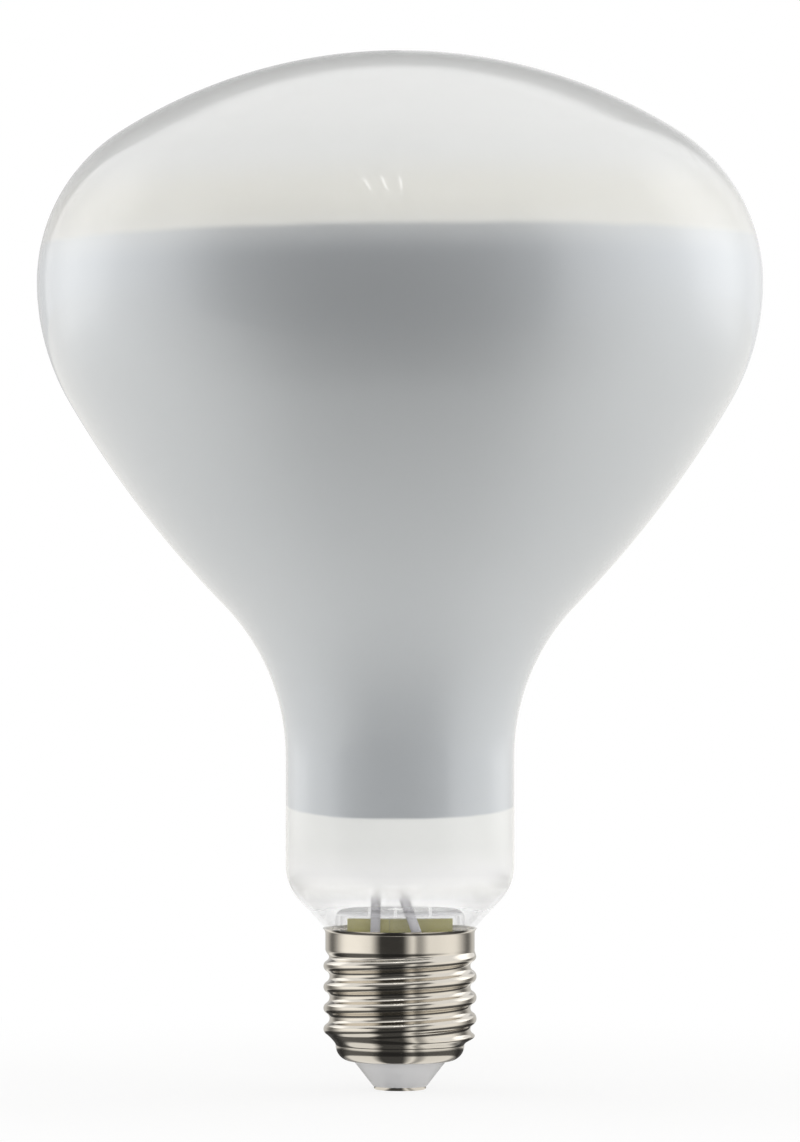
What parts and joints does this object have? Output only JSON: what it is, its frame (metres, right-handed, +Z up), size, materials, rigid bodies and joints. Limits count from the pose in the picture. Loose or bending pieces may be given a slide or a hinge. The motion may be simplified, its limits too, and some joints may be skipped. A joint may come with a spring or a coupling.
{
  "type": "reflector bulb",
  "caption": "Large reflector lamp with LED filaments: blown glass bulb with a mirror coat on its cone, milky dome and neck, and a screw cap.",
  "frame": {"origin": "middle of the centre contact's underside", "axes": "+Z up the lamp's axis to the dome, +X to the right and -Y towards the viewer as pictured"},
  "size_m": [0.125, 0.125, 0.1788],
  "materials": {
    "clear_glass": "clear outside, satin milky inside on the dome and neck",
    "mirror_coat": "satin metal coat seen through the glass",
    "stem_glass": "clear drawn glass",
    "lead_wire": "drawn nickel wire",
    "sleeve": "white silicone sleeving",
    "phosphor": "yellow phosphor coat",
    "board": "yellow-green bare laminate",
    "black_plastic": "moulded black",
    "capacitor_can": "dark sleeve",
    "ferrite": "ferrite grey",
    "fuse_body": "painted resistor body",
    "nickel": "bright nickel plate",
    "insulator": "white moulded",
    "cement": "grey-white capping cement"
  },
  "bodies": {
    "root": {"glass_bulb": "clear_glass", "mirror_coating": "mirror_coat", "glass_stem": "stem_glass", "lead_wire_left": "lead_wire", "lead_wire_right": "lead_wire", "lead_sleeve_left": "sleeve", "lead_sleeve_right": "sleeve", "top_hoop": "lead_wire", "driver_board": "board", "driver_chip": "black_plastic", "bridge_rectifier": "black_plastic", "smoothing_capacitor": "capacitor_can", "choke": "ferrite", "fuse_resistor": "fuse_body", "side_wire": "lead_wire", "cap_shell": "nickel", "cap_insulator": "insulator", "centre_contact": "nickel", "cap_cement": "cement", "led_filament_1": "phosphor", "led_filament_2": "phosphor", "led_filament_3": "phosphor", "led_filament_4": "phosphor", "led_filament_5": "phosphor", "led_filament_6": "phosphor", "led_filament_7": "phosphor", "led_filament_8": "phosphor"}
  },
  "joints": []
}
